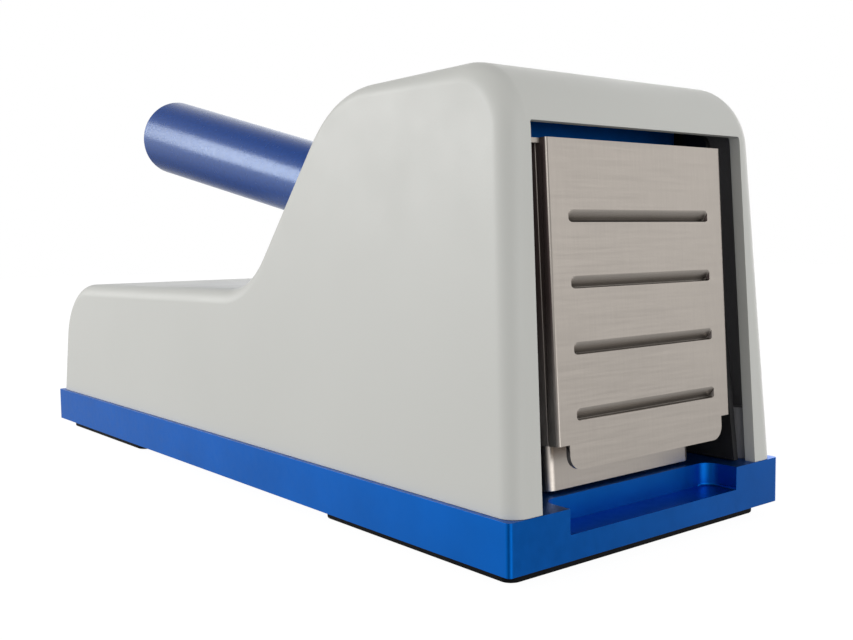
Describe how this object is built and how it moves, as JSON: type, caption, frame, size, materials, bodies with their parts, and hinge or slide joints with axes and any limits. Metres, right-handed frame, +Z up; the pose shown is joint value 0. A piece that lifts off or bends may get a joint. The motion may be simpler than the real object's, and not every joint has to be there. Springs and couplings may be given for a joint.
{
  "type": "tablet crusher",
  "caption": "Bench-top lever tablet crusher: a handle presses a flat steel platen against a ribbed front plate to powder tablets held in a pouch.",
  "frame": {"origin": "on the bench under the middle of the base (bottom centre of the bounding box)", "axes": "-Y to the front, where the pouch goes in; +X to the right seen from the front; +Z up; the handle points back along +Y"},
  "size_m": [0.1, 0.27, 0.1337],
  "materials": {
    "blue_aluminium": "satin blue anodised, lightly bead blasted",
    "shell_plastic": "light warm grey moulded shell, satin with soft sheen",
    "rubber": "matt black",
    "dark_steel": "black oxide, dull",
    "brushed_steel": "fine brushed stainless sheet",
    "bearing_bronze": "sintered bronze, dull",
    "bright_steel": "turned steel, zinc plated"
  },
  "bodies": {
    "chassis": {"base_plate": "blue_aluminium", "chassis_screw_left_front": "bright_steel", "chassis_screw_left_rear": "bright_steel", "chassis_screw_right_front": "bright_steel", "chassis_screw_right_rear": "bright_steel", "front_foot_pad": "rubber", "front_plate": "brushed_steel", "guide_block": "bright_steel", "guide_bush_left": "bearing_bronze", "guide_bush_right": "bearing_bronze", "guide_screw_left_lower": "bright_steel", "guide_screw_left_upper": "bright_steel", "guide_screw_right_lower": "bright_steel", "guide_screw_right_upper": "bright_steel", "housing_screw_front_left": "bright_steel", "housing_screw_front_right": "bright_steel", "housing_screw_rear_left": "bright_steel", "housing_screw_rear_right": "bright_steel", "housing_shell": "shell_plastic", "pivot_bush_left": "bearing_bronze", "pivot_bush_right": "bearing_bronze", "pivot_clip_left": "dark_steel", "pivot_clip_right": "dark_steel", "pivot_pin": "bright_steel", "plate_screw_left_lower": "bright_steel", "plate_screw_left_upper": "bright_steel", "plate_screw_right_lower": "bright_steel", "plate_screw_right_upper": "bright_steel", "plate_spacer_left_lower": "bright_steel", "plate_spacer_left_upper": "bright_steel", "plate_spacer_right_lower": "bright_steel", "plate_spacer_right_upper": "bright_steel", "rear_foot_pad": "rubber", "return_spring_left": "bright_steel", "return_spring_right": "bright_steel", "side_plate_left": "dark_steel", "side_plate_right": "dark_steel", "stop_bar": "bright_steel", "stop_bar_screw_left": "bright_steel", "stop_bar_screw_right": "bright_steel"},
    "lever": {"lever_head": "blue_aluminium", "handle_tube": "blue_aluminium", "handle_end_plug": "blue_aluminium", "handle_cross_pin": "bright_steel", "roller_pin": "bright_steel"},
    "platen": {"platen": "brushed_steel", "guide_rod_left": "bright_steel", "guide_rod_right": "bright_steel", "spring_washer_left": "bright_steel", "spring_washer_right": "bright_steel", "rod_clip_left": "dark_steel", "rod_clip_right": "dark_steel"},
    "roller": {"press_roller": "bright_steel"}
  },
  "joints": [
    {"name": "handle_press", "type": "hinge", "parent": "chassis", "child": "lever", "pos_m": [0, -0.098, 0.094], "axis": [-1, 0, 0], "range_deg": [0, 10], "stiffness_Nm_per_rad": 4, "springref_deg": -10.89},
    {"name": "platen_slide", "type": "slide", "parent": "chassis", "child": "platen", "axis": [0, -1, 0], "range_m": [0, 0.0058], "deforming": ["return_spring_left", "return_spring_right"]},
    {"name": "roller_spin", "type": "hinge", "parent": "lever", "child": "roller", "pos_m": [0, -0.11345, 0.061], "axis": [1, 0, 0], "continuous": true}
  ],
  "couplings": [
    {"joint": "platen_slide", "follows": "handle_press", "m_per_rad": 0.0326}
  ]
}
